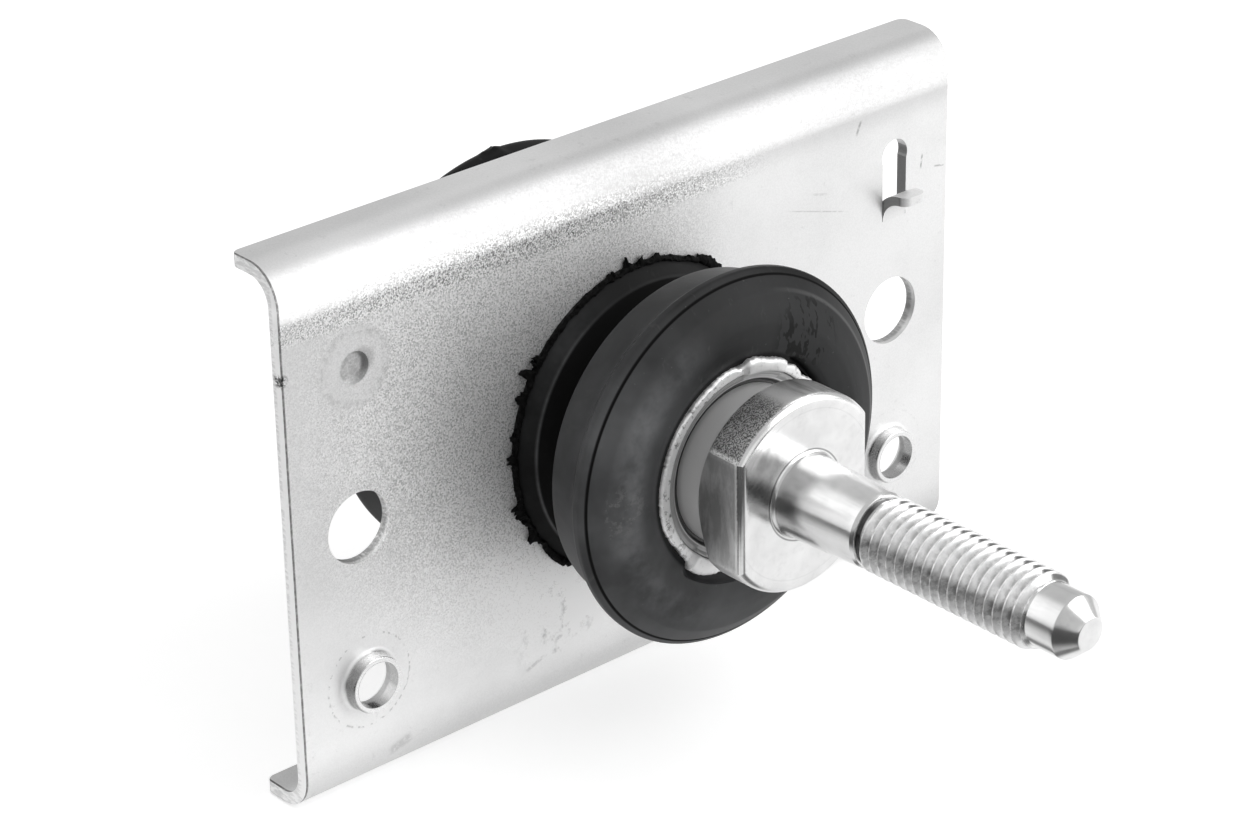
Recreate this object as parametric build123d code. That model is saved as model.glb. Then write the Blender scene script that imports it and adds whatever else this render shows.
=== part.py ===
"""Engine mount: a pressed plate, a moulded isolator, a core sleeve and a threaded stud.

Millimetres. X runs along the plate's width, +Y from the plate's front face to its rear, +Z up.
The origin lies on the stud's axis, in the front face, midway between the two bolt holes.
"""
import os

from build123d import *

os.makedirs("parts", exist_ok=True)

# Mounting plate
# A sheet folded into a shallow channel, with both flanges turned to the rear.
plate_width = 133.7
plate_height = 89.0
sheet = 2.0
fold_inner_radius = 4.0
flange_depth = 10.5
flange_corner_radius = 1.5

# Bolt holes
# Two clearance holes level with the stud, placed from the plate's side edges.
bolt_edge_margin = 12.35
bolt_hole_radius = 5.75

# Drawn collars
# Two holes drawn forward out of the sheet, which locate the plate on its bracket.
collar_edge_margin = 12.65
collar_drop = 25.9
collar_bore_radius = 3.7
collar_wall = 0.9
collar_stand = 2.2
collar_root_radius = 0.9
collar_entry_radius = 1.2

# Hook slot
# A pierced hole with a lanced tongue under it, bent forward into a hook.
slot_edge_margin = 11.8
slot_hole_height = 27.05
slot_hole_radius = 2.8
slot_width = 5.2
slot_foot_height = 16.25
tab_side_gap = 0.1
tab_thickness = 1.5
tab_inner_radius = 3.85
tab_straight = 1.1
tab_corner_radius = 1.6

# Pressed mark
# A shallow round recess, pushed out at the rear.
mark_edge_margin = 12.95
mark_height = 25.7
mark_radius = 2.55
mark_depth = 0.9
mark_wall = 0.5

# Isolator
# One moulded rubber body of revolution, gripping the plate from both sides.
rubber_hole_radius = 22.0
bond_clearance = 0.02
base_radius = 25.6
ridge_radius = 23.4
ridge_stand = 2.7
neck_radius = 19.5
front_neck_stand = 8.0
front_lip_rear_radius = 27.15
front_lip_rear_stand = 11.2
front_band_radius = 27.45
front_band_stand = 18.2
front_bead_depth = 0.35
front_bead_width = 0.6
front_rim_radius = 30.2
front_rim_width = 1.3
front_rim_stand = 20.6
front_crown_radius = 25.0
front_crown_stand = 24.7
front_mouth_stand = 23.7
rear_neck_stand = 9.0
rear_lip_front_radius = 33.2
rear_lip_front_stand = 24.6
rear_rim_radius = 34.9
rear_rim_stand = 30.6
rear_crown_radius = 30.0
rear_crown_stand = 34.6
rear_mouth_stand = 33.4

# Core sleeve
# A steel sleeve through the rubber, open to the stud at both ends.
sleeve_radius = 16.8
sleeve_bore_radius = 8.0
sleeve_front_stand = 24.0
sleeve_rear_stand = 34.0
counterbore_depth = 1.2
counterbore_chamfer = 0.5
sleeve_edge_radius = 0.6
lug_radius = 17.6
lug_inner_radius = 14.6
lug_stand = 0.8
lug_depth = 2.6
lug_arc = 44.0
lug_end_angle = 89.0
lug_pocket_clearance = 0.25

# Stud
# One forging: riveted spigot, shoulder, flange with two wrench flats, shank and M12 thread.
spigot_clearance = 0.02
shoulder_radius = 12.8
shoulder_clearance = 0.4
flange_radius = 15.85
flange_flats = 26.0
flange_rear_stand = 27.8
flange_rim_stand = 30.3
flange_front_stand = 37.1
flange_edge_radius = 0.7
root_fillet_radius = 0.7
shank_root_radius = 6.6
shank_end_radius = 5.95
thread_radius = 6.0
thread_start_stand = 53.0
thread_length = 33.2
thread_relief_depth = 0.6
thread_relief_width = 0.9
thread_chamfer = 1.1
point_radius = 4.9
point_length = 5.1
point_cone_length = 2.7
point_face_radius = 2.5
rivet_flare = 1.8
rivet_depth = 1.6

# Thread section
# The thread is turned as rings of its section, one for each pitch.
thread_pitch = 1.75
thread_depth = 1.07
thread_crest = 0.22
thread_root = 0.29

# Places on the plate
# Distances along X from the stud's axis, which follow the plate's width.
bolt_x = plate_width / 2 - bolt_edge_margin
collar_x = plate_width / 2 - collar_edge_margin
slot_x = plate_width / 2 - slot_edge_margin
mark_x = mark_edge_margin - plate_width / 2


def turned(points, radii):
    """Solid of revolution about Y from (radius, y) points with a fillet radius for each."""
    outline = FilletPolyline(*points, radius=radii, close=True)
    return revolve(make_face(outline), Axis.Y, 360)


def bar(radius, y_from, y_to, x=0.0, z=0.0):
    """Cylinder along Y between two stations."""
    solid = Cylinder(radius, y_to - y_from, align=(Align.CENTER, Align.CENTER, Align.MIN))
    return Pos(x, y_from, z) * Rot(-90, 0, 0) * solid


def drawn_collar():
    """Wall of one drawn collar about its own axis, with its root fillet in the front face."""
    outer = collar_bore_radius + collar_wall
    root = outer + collar_root_radius
    half = sheet / 2
    points = [
        (collar_bore_radius, -collar_stand),
        (outer, -collar_stand),
        (outer, 0),
        (root + half, 0),
        (root + half, half),
        (collar_bore_radius, half),
    ]
    return turned(points, [0, 0.25, collar_root_radius, 0, 0, 0])


def collar_bore():
    """Cut for one drawn collar, wide at the rear where the sheet is drawn in."""
    mouth = collar_bore_radius + collar_entry_radius
    points = [
        (0, -collar_stand - 1),
        (collar_bore_radius, -collar_stand - 1),
        (collar_bore_radius, sheet - collar_entry_radius),
        (mouth, sheet),
        (mouth, sheet + 1),
        (0, sheet + 1),
    ]
    return turned(points, [0, 0, collar_entry_radius, 0, 0, 0])


def folded_sheet():
    """Channel with rounded folds and eased flange corners."""
    fold_radius = fold_inner_radius + sheet
    align = (Align.CENTER, Align.MIN, Align.CENTER)
    outside = Box(plate_width, flange_depth, plate_height, align=align)
    folds = outside.edges().filter_by(Axis.X).group_by(Axis.Y)[0]
    outside = fillet(folds, fold_radius)
    inside = Box(plate_width + 2, flange_depth, plate_height - 2 * sheet, align=align)
    inside_folds = inside.edges().filter_by(Axis.X).group_by(Axis.Y)[0]
    inside = Pos(0, sheet, 0) * fillet(inside_folds, fold_inner_radius)
    channel = outside - inside
    corners = channel.edges().filter_by(Axis.Z).group_by(Axis.Y)[-1]
    return fillet(corners, flange_corner_radius)


def hook_tab():
    """Tongue left at the slot's foot, bent forward through a quarter turn."""
    outer = tab_inner_radius + tab_thickness
    width = slot_width - 2 * tab_side_gap
    tip = tab_inner_radius + tab_straight
    centre = (-tab_inner_radius, slot_foot_height)
    with BuildSketch(Plane.YZ) as side:
        with Locations(centre):
            Circle(outer)
            Circle(tab_inner_radius, mode=Mode.SUBTRACT)
        with Locations(centre):
            Rectangle(outer, outer, align=(Align.MIN, Align.MIN), mode=Mode.INTERSECT)
        with Locations((-tip, slot_foot_height + tab_inner_radius)):
            Rectangle(tab_straight, tab_thickness, align=(Align.MIN, Align.MIN))
        with Locations((0, slot_foot_height)):
            Rectangle(tab_thickness, sheet, align=(Align.MIN, Align.MAX))
    tongue = extrude(side.sketch, width / 2, both=True)
    ends = tongue.edges().filter_by(Axis.Z).group_by(Axis.Y)[0]
    return Pos(slot_x, 0, 0) * fillet(ends, tab_corner_radius)


def mounting_plate():
    """Folded plate with every hole, collar, hook and mark."""
    plate = folded_sheet()
    plate -= bar(rubber_hole_radius, -1, sheet + 1)
    for side in (-1, 1):
        plate -= bar(bolt_hole_radius, -1, sheet + 1, x=side * bolt_x)
        place = Pos(side * collar_x, 0, -collar_drop)
        plate += place * drawn_collar()
        plate -= place * collar_bore()
    plate -= bar(slot_hole_radius, -1, sheet + 1, x=slot_x, z=slot_hole_height)
    slot_length = slot_hole_height - slot_foot_height
    slot_place = Pos(slot_x, sheet / 2, slot_foot_height)
    plate -= slot_place * Box(
        slot_width, sheet + 2, slot_length, align=(Align.CENTER, Align.CENTER, Align.MIN)
    )
    plate += hook_tab()
    boss_radius = mark_radius + mark_wall
    plate += bar(boss_radius, sheet / 2, sheet + mark_depth, x=mark_x, z=mark_height)
    plate -= bar(mark_radius, -1, mark_depth, x=mark_x, z=mark_height)
    return plate


def lug(radius, inner_radius, stand, depth, margin):
    """Pair of opposite sector blocks on the sleeve's front rim."""
    front = -sleeve_front_stand - stand
    rear = -sleeve_front_stand + depth
    profile = make_face(
        Polyline(
            (inner_radius, front),
            (radius, front),
            (radius, rear),
            (inner_radius, rear),
            close=True,
        )
    )
    sector = revolve(profile, Axis.Y, lug_arc + 2 * margin)
    first = Rot(0, -(lug_end_angle + margin), 0) * sector
    return first + Rot(0, 180, 0) * first


def rubber_isolator():
    """Rubber body with its grip on the plate, both grooves and both lips."""
    bore = sleeve_radius + bond_clearance
    grip = rubber_hole_radius - bond_clearance
    points = [
        (bore, -front_mouth_stand),
        (front_crown_radius - 5.5, -front_crown_stand),
        (front_crown_radius, -front_crown_stand),
        (front_rim_radius, -front_rim_stand),
        (front_rim_radius, -front_rim_stand + front_rim_width),
        (front_band_radius + 0.1, -front_band_stand - front_bead_width),
        (front_band_radius - front_bead_depth, -front_band_stand - front_bead_width / 2),
        (front_band_radius, -front_band_stand),
        (front_lip_rear_radius, -front_lip_rear_stand),
        (neck_radius, -front_neck_stand),
        (ridge_radius, -ridge_stand),
        (base_radius, 0),
        (grip, 0),
        (grip, sheet),
        (base_radius, sheet),
        (ridge_radius, sheet + ridge_stand),
        (neck_radius, sheet + rear_neck_stand),
        (rear_lip_front_radius, sheet + rear_lip_front_stand),
        (rear_rim_radius, sheet + rear_rim_stand),
        (rear_crown_radius, sheet + rear_crown_stand),
        (rear_crown_radius - 8, sheet + rear_crown_stand),
        (bore, sheet + rear_mouth_stand),
    ]
    radii = [0, 4, 5, 0.8, 0.5, 0.2, 0, 0.2, 0.5, 2, 0.6, 0, 0, 0, 0, 0.6, 4, 1, 2, 4, 4, 0]
    body = turned(points, radii)
    pocket_radius = lug_radius + lug_pocket_clearance
    pocket_depth = lug_depth + lug_pocket_clearance
    margin = degrees_for(lug_pocket_clearance, lug_radius)
    return body - lug(pocket_radius, sleeve_radius - 1, 3, pocket_depth, margin)


def degrees_for(width, radius):
    """Angle that a short width takes up at a radius."""
    return width / radius * 57.29578


def core_sleeve():
    """Sleeve with its bore, front counterbore, rear countersink and two front lugs."""
    seat = shoulder_radius + shoulder_clearance
    front = -sleeve_front_stand
    floor = front + counterbore_depth
    rear = sheet + sleeve_rear_stand
    points = [
        (seat + counterbore_chamfer, front),
        (sleeve_radius, front),
        (sleeve_radius, rear),
        (sleeve_bore_radius + rivet_flare, rear),
        (sleeve_bore_radius, rear - rivet_depth),
        (sleeve_bore_radius, floor),
        (seat, floor),
        (seat, front + counterbore_chamfer),
    ]
    radii = [0, sleeve_edge_radius, sleeve_edge_radius, 0, 0, 0, 0, 0]
    return turned(points, radii) + lug(lug_radius, lug_inner_radius, lug_stand, lug_depth, 0)


def thread_grooves():
    """Grooves of the thread's section, from the relief to the lead-in chamfer."""
    station = thread_start_stand + thread_relief_width + thread_relief_depth + thread_crest
    last = thread_start_stand + thread_length - thread_chamfer
    flank = (thread_pitch - thread_crest - thread_root) / 2
    slope = flank / thread_depth
    root = thread_radius - thread_depth
    outside = thread_radius + 1
    grooves = []
    while station + thread_pitch - thread_crest <= last:
        points = [
            (outside, -station + slope),
            (root, -station - flank),
            (root, -station - flank - thread_root),
            (outside, -station - 2 * flank - thread_root - slope),
        ]
        grooves.append(turned(points, [0, 0, 0, 0]))
        station += thread_pitch
    return grooves


def stud():
    """Forged stud from its riveted rear end to its lead-in point."""
    floor = -sleeve_front_stand + counterbore_depth
    rear = sheet + sleeve_rear_stand
    spigot = sleeve_bore_radius - spigot_clearance
    thread_end = thread_start_stand + thread_length
    point_end = thread_end + point_length
    points = [
        (0, rear),
        (spigot + rivet_flare, rear),
        (spigot, rear - rivet_depth),
        (spigot, floor),
        (shoulder_radius, floor),
        (shoulder_radius, -flange_rear_stand),
        (flange_radius, -flange_rim_stand),
        (flange_radius, -flange_front_stand),
        (shank_root_radius, -flange_front_stand),
        (shank_end_radius, -thread_start_stand + 0.3),
        (shank_end_radius - thread_relief_depth, -thread_start_stand),
        (shank_end_radius - thread_relief_depth, -thread_start_stand - thread_relief_width),
        (thread_radius, -thread_start_stand - thread_relief_width - thread_relief_depth),
        (thread_radius, -thread_end + thread_chamfer),
        (point_radius, -thread_end),
        (point_radius, -point_end),
        (point_face_radius, -point_end - point_cone_length),
        (0, -point_end - point_cone_length),
    ]
    radii = [0, 0, 0, 0, 0, 0, 0.4, flange_edge_radius, root_fillet_radius, 0, 0, 0, 0, 0, 0, 0, 0, 0]
    body = turned(points, radii) - thread_grooves()
    side = (flange_radius * 2 - flange_flats) / 2 + 1
    length = flange_front_stand - flange_rear_stand + 2
    for way in (-1, 1):
        cutter = Box(side, length, 2 * flange_radius + 2, align=(Align.MIN, Align.MIN, Align.CENTER))
        if way < 0:
            cutter = Rot(0, 180, 0) * cutter
        body -= Pos(way * flange_flats / 2, -flange_front_stand - 1, 0) * cutter
    return body


nodes = {
    "mounting_plate": mounting_plate(),
    "rubber_isolator": rubber_isolator(),
    "core_sleeve": core_sleeve(),
    "stud": stud(),
}
for name, shape in nodes.items():
    shape.label = name
    export_step(shape, f"parts/{name}.step")
    print(name, "volume", round(shape.volume, 1), "solids", len(shape.solids()))
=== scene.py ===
# %% [markdown]
# # An engine mount, dressed for its picture
# The object is a small engine mount: a pressed and zinc-plated steel plate, a black rubber isolator that
# grips it from both sides, a steel core sleeve inside the rubber, and a forged stud with an M12 thread.
# The CAD model gives every size. This script adds what the CAD leaves out: the cut thread, the torn edge
# of the moulded rubber, the rough lugs of the core, and the finishes of zinc, steel and rubber.
#
# The first cell loads the CAD model as a fixed frame. Everything is in metres, and every piece is built
# in place.

# %% Load the frame
import math

import bmesh
import bpy
from mathutils import Matrix, Vector, noise


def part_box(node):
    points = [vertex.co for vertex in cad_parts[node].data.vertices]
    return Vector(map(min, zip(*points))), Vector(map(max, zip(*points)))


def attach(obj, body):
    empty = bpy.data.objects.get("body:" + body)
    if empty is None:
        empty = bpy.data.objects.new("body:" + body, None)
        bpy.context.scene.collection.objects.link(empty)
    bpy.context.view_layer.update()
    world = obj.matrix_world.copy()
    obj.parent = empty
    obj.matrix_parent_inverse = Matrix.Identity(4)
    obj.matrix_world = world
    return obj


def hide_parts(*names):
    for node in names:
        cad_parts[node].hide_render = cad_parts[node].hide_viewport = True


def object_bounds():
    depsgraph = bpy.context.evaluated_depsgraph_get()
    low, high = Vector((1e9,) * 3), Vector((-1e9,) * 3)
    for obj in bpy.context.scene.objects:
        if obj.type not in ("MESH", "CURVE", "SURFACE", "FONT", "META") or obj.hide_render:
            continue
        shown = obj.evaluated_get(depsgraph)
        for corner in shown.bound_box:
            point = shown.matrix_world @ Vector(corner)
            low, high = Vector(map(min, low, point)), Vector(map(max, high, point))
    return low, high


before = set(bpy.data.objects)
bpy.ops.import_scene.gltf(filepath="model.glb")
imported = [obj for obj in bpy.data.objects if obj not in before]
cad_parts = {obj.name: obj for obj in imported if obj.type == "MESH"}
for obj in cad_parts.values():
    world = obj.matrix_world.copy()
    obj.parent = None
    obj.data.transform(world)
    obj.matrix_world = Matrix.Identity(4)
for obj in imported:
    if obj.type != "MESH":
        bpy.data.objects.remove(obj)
cad_low, cad_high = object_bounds()
MM = 0.001
print("CAD nodes:", sorted(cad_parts))

# %% [markdown]
# The camera stands left of the mount and above it, about 600 mm away, with a long lens. Its angles were
# worked out from the plate's corners, the round holes and the stud's outline, so that the render can be
# laid over the photograph. Azimuth turns it round the mount, elevation lifts it, and a small roll tilts
# the picture.

# %% Camera
CAMERA_AZIMUTH = math.radians(-40.8338)
CAMERA_ELEVATION = math.radians(26.5531)
CAMERA_ROLL = math.radians(1.1068)
CAMERA_PLACE = Vector((-0.354240, -0.406401, 0.268963))
FOCAL_PIXELS = 3905.232
IMAGE_WIDTH = 1248
SENSOR_WIDTH = 36.0


def camera_axes(azimuth, elevation, roll):
    """Right, down and view directions of a camera that looks back at the mount."""
    level = math.cos(elevation)
    view = -Vector((math.sin(azimuth) * level, -math.cos(azimuth) * level, math.sin(elevation)))
    right = view.cross(Vector((0, 0, 1))).normalized()
    down = view.cross(right)
    turned_right = math.cos(roll) * right + math.sin(roll) * down
    turned_down = -math.sin(roll) * right + math.cos(roll) * down
    return turned_right, turned_down, view


right, down, view = camera_axes(CAMERA_AZIMUTH, CAMERA_ELEVATION, CAMERA_ROLL)
lens = bpy.data.cameras.new("camera")
lens.sensor_width = SENSOR_WIDTH
lens.lens = FOCAL_PIXELS / IMAGE_WIDTH * SENSOR_WIDTH
lens.clip_start = 0.01
lens.clip_end = 20.0
camera = bpy.data.objects.new("camera", lens)
camera.matrix_world = Matrix.Translation(CAMERA_PLACE) @ Matrix((right, -down, -view)).transposed().to_4x4()
bpy.context.collection.objects.link(camera)
bpy.context.scene.camera = camera
print("lens", round(lens.lens, 2), "mm")

# %% [markdown]
# Materials are node trees. Small helpers keep them readable: one starts a material with a Principled
# shader, one adds a node, and the others make what every finish needs, such as a noise, a soft step or a
# mix. A helper finds its tree through the sockets that it is given. All patterns read Object coordinates
# in metres, so a noise of scale 1000 has features about a millimetre wide.

# %% Material helpers
Socket = bpy.types.NodeSocket


def new_finish(name):
    """Material, its Principled shader and its Object coordinates."""
    finish = bpy.data.materials.new(name)
    finish.use_nodes = True
    shader = next(n for n in finish.node_tree.nodes if n.type == "BSDF_PRINCIPLED")
    place = finish.node_tree.nodes.new("ShaderNodeTexCoord").outputs["Object"]
    return finish, shader, place


def wire(node, **inputs):
    """Link sockets to a node's inputs or set plain values there; i_2 means input number 2."""
    for key, value in inputs.items():
        name = int(key[2:]) if key.startswith("i_") else key.replace("_", " ")
        if isinstance(value, Socket):
            node.id_data.links.new(value, node.inputs[name])
        else:
            node.inputs[name].default_value = value


def add(kind, settings=None, **inputs):
    """Node of a kind, in the tree of the sockets that feed it, with attributes from settings."""
    tree = next(value.id_data for value in inputs.values() if isinstance(value, Socket))
    node = tree.nodes.new(kind)
    for key, value in (settings or {}).items():
        setattr(node, key, value)
    wire(node, **inputs)
    return node


def calc(operation, first, second=0.0):
    """Output of one Math node."""
    return add("ShaderNodeMath", {"operation": operation}, i_0=first, i_1=second).outputs[0]


def times(*factors):
    """Product of several values."""
    product = factors[0]
    for factor in factors[1:]:
        product = calc("MULTIPLY", product, factor)
    return product


def most(*values):
    """Largest of several values."""
    largest = values[0]
    for value in values[1:]:
        largest = calc("MAXIMUM", largest, value)
    return largest


def speckle(place, scale, detail=2.0, rough=0.5, stretch=None):
    """Noise value at a scale in units per metre, stretched along an axis if asked."""
    if stretch:
        place = add("ShaderNodeMapping", Vector=place, Scale=stretch).outputs[0]
    node = add("ShaderNodeTexNoise", Vector=place, Scale=scale, Detail=detail, Roughness=rough)
    return node.outputs["Fac"]


def grains(place, scale):
    """Random grey for each small cell, like the crystals of a coating."""
    return add("ShaderNodeTexVoronoi", Vector=place, Scale=scale).outputs["Color"]


def slide(value, start, end, first=0.0, last=1.0):
    """Smooth change from first to last while a value goes from start to end."""
    soft = {"interpolation_type": "SMOOTHSTEP"}
    return add("ShaderNodeMapRange", soft, Value=value, i_1=start, i_2=end, i_3=first, i_4=last).outputs[0]


def fade(value, start, end):
    """Smooth fall from 1 to 0 while a value goes from start to end."""
    return slide(value, start, end, 1.0, 0.0)


def inside(mask, amount):
    """1 outside a mask and another amount inside it."""
    return slide(mask, 0.0, 1.0, 1.0, amount)


def band(value, low, high, soft):
    """1 where a value lies between low and high, 0 outside, with soft edges."""
    return times(slide(value, low - soft, low + soft), fade(value, high - soft, high + soft))


def ramp(value, *stops):
    """Colour ramp from (position, grey or colour) stops."""
    node = add("ShaderNodeValToRGB", i_0=value)
    while len(node.color_ramp.elements) < len(stops):
        node.color_ramp.elements.new(0.5)
    for element, (position, shade) in zip(node.color_ramp.elements, stops):
        element.position = position
        element.color = (shade, shade, shade, 1.0) if isinstance(shade, float) else (*shade, 1.0)
    return node.outputs[0]


def blend(kind, amount, first, second):
    """Mix of two colours or greys."""
    pair = [(grey, grey, grey, 1.0) if isinstance(grey, float) else grey for grey in (first, second)]
    settings = {"data_type": "RGBA", "blend_type": kind}
    return add("ShaderNodeMix", settings, i_0=amount, i_6=pair[0], i_7=pair[1]).outputs[2]


def darken(colour, *marks):
    """Colour multiplied by each mark's shade inside its mask; a shade over 1 lightens it."""
    for mask, shade in marks:
        colour = blend("MULTIPLY", mask, colour, shade)
    return colour


def bump(height, distance, strength=1.0, under=None):
    """Normal from a height, over another bump if given."""
    node = add("ShaderNodeBump", Height=height, Distance=distance, Strength=strength)
    if under is not None:
        wire(node, Normal=under)
    return node.outputs[0]


def parts_of(vector):
    """X, Y and Z of a vector, in millimetres."""
    scaled = add("ShaderNodeVectorMath", {"operation": "SCALE"}, i_0=vector, Scale=1000.0)
    return add("ShaderNodeSeparateXYZ", Vector=scaled.outputs[0]).outputs


def distance_from(place, x, z):
    """Distance in millimetres from a line along Y through (x, z), also in millimetres."""
    flat = add("ShaderNodeVectorMath", {"operation": "MULTIPLY"}, i_0=place, i_1=(1000.0, 0.0, 1000.0))
    node = add("ShaderNodeVectorMath", {"operation": "DISTANCE"}, i_0=flat.outputs[0], i_1=(x, 0.0, z))
    return node.outputs["Value"]


def near_spot(place, x, z, reach):
    """1 near a line along Y through (x, z), 0 beyond it, with its edge between two distances."""
    return fade(distance_from(place, x, z), *reach)


def aimed(vector, direction):
    """Dot product of a vector and a direction."""
    node = add("ShaderNodeVectorMath", {"operation": "DOT_PRODUCT"}, i_0=vector, i_1=tuple(direction))
    return node.outputs["Value"]


print("helpers ready")

# %% [markdown]
# The plate is cold-rolled steel with a thin coat of zinc: a metal that is satin rather than polished,
# with a grain finer than a third of a millimetre. The grain is strong where the sheet wasn't worked, and
# the press has ironed it nearly flat along the fold, at the edges and round the holes. Voronoi cells make
# the grain, one random grey for each cell, and a mask built from distances says how strong it is. The
# same cells drive the bump, so that the grain catches the light. Slow random changes of tone, and painted
# light and shade that stand in for the soft gradients of a real studio, set the grey of each place.

# %% Plate places
_, plate_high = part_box("mounting_plate")
HALF_WIDTH = plate_high.x / MM
HALF_HEIGHT = plate_high.z / MM
FOLD_DEPTH = 6.0
FOLD_TOP = HALF_HEIGHT - FOLD_DEPTH
MARK_PLACE = (-53.9, 25.7)
COLLAR_PLACES = ((-54.2, -25.9), (54.2, -25.9))
BOLT_PLACES = ((-54.5, 0.0), (54.5, 0.0))
BOLT_HOLE_RADIUS = 5.75
SLOT_X = 55.05
print("plate half size", round(HALF_WIDTH, 2), round(HALF_HEIGHT, 2), "mm")

# %% [markdown]
# Handling leaves its own marks: a few short scratches, some dull smudges low on the plate, and a nick in
# the left edge. A scratch is a noise-broken line between two points. A Mapping node of the Texture type
# moves the pattern so that the line lies along its X axis, and two soft bands then cut out its length and
# its width.

# %% Scratches
# Each scratch has its start and end as (x, z), its half width, and its shade.
SCRATCHES = (
    ((32.5, 24.1), (43.5, 20.8), 0.10, 0.76),
    ((46.5, 33.0), (47.4, 35.0), 0.22, 0.60),
    ((61.0, 23.2), (61.3, 25.4), 0.16, 0.50),
    ((64.2, 22.6), (66.2, 22.2), 0.14, 0.60),
    ((37.0, 25.6), (40.0, 24.8), 0.20, 0.85),
    ((-47.5, 8.4), (-45.2, 7.4), 0.30, 0.80),
    ((-24.0, -36.5), (-20.5, -35.2), 0.30, 0.80),
    ((-50.8, -39.8), (-47.0, -38.6), 0.80, 0.80),
)


def scratch(place, start, end, width):
    """1 on a broken line between two (x, z) points in millimetres."""
    run = (end[0] - start[0], end[1] - start[1])
    half = math.hypot(*run) / 2
    turned = add(
        "ShaderNodeMapping",
        {"vector_type": "TEXTURE"},
        Vector=place,
        Location=((start[0] + end[0]) / 2 * MM, 0.0, (start[1] + end[1]) / 2 * MM),
        Rotation=(0.0, -math.atan2(run[1], run[0]), 0.0),
    )
    along, _, across = parts_of(turned.outputs[0])
    line = times(band(along, -half, half, half * 0.3), band(across, -width, width, width * 0.6))
    return times(line, slide(speckle(place, 1400.0), 0.26, 0.52))

print("scratches", len(SCRATCHES))

# %% Plate grain and tone
def grain_strength(place, x, z):
    """How strong the grain is: most left of the rubber and under the fold, nearly 0 elsewhere."""
    open_field = near_spot(place, -24.0, 16.0, reach=(14.0, 52.0))
    strength = times(open_field, fade(x, 2.0, 30.0), fade(z, FOLD_TOP - 1.5, FOLD_TOP + 0.5))
    for spot, near, far in ((MARK_PLACE, 5.6, 7.4), (COLLAR_PLACES[0], 6.0, 9.0)):
        strength = times(strength, slide(distance_from(place, *spot), near, far, 0.35, 1.0))
    under_fold = times(band(z, FOLD_TOP - 5.6, FOLD_TOP - 2.4, 0.7), slide(x, 30.0, 10.0))
    return calc("ADD", calc("ADD", times(strength, 1.15), 0.05), under_fold)


def tone_and_painted_light(place, clouds, x, y, z):
    """Random slow changes of the zinc's grey, and painted light and shade that stand in for studio
    gradients.
    """
    low_left = times(slide(z, -2.0, -24.0), slide(x, 44.0, 8.0))
    right_top = times(slide(x, 18.0, 52.0), slide(z, -14.0, 4.0))
    on_bend = times(slide(z, FOLD_TOP - 8.0, FOLD_TOP - 1.5), slide(x, -64.0, -20.0), slide(y, 6.0, 3.0))
    left_flange = times(slide(y, 4.0, 8.0), slide(x, -20.0, -50.0))
    # Besides the random clouds, these factors are painted light and shade: lighter low down and round the
    # rubber, darker above the rubber, towards the bottom edge, at the right top, along the bend and at the
    # left end of the upper flange.
    return times(
        slide(clouds, 0.30, 0.66, 0.76, 0.83),
        inside(low_left, 1.18),
        slide(distance_from(place, 3.0, 31.0), 7.0, 20.0, 0.89, 1.0),
        slide(distance_from(place, -6.0, 0.0), 24.0, 40.0, 1.10, 1.0),
        slide(z, -34.0, -41.0, 1.0, 0.80),
        inside(right_top, 0.95),
        inside(on_bend, 0.84),
        inside(left_flange, 0.88),
    )


print("fold starts at", round(FOLD_TOP, 2), "mm")

# %% Plate marks
def press_marks_and_painted_shade(place, colour):
    """Dull ring and disc of the pressed mark with painted shade on its right, and the collar tool's dotted
    ring.
    """
    from_mark = distance_from(place, *MARK_PLACE)
    disc = times(fade(from_mark, 2.2, 2.9), slide(grains(place, 2600.0), 0.1, 0.9, 1.0, 0.45))
    # Painted shade: a dark patch inside the pressed recess, on its right, where its wall is in shade.
    shade = near_spot(place, MARK_PLACE[0] + 1.5, MARK_PLACE[1] + 0.8, reach=(1.4, 2.6))
    shaded_crescent = times(shade, slide(from_mark, 1.6, 2.3))
    ring = times(band(from_mark, 5.2, 6.4, 0.5), slide(speckle(place, 900.0, 3.0, 0.7), 0.42, 0.60))
    colour = darken(colour, (disc, 0.60), (shaded_crescent, 0.70), (ring, 0.80))
    dots = slide(speckle(place, 1100.0), 0.50, 0.58)
    for spot, amount in zip(COLLAR_PLACES, (0.6, 0.15)):
        dotted = times(band(distance_from(place, *spot), 7.5, 7.75, 0.15), dots, amount)
        colour = darken(colour, (dotted, 0.45))
    return colour


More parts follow.
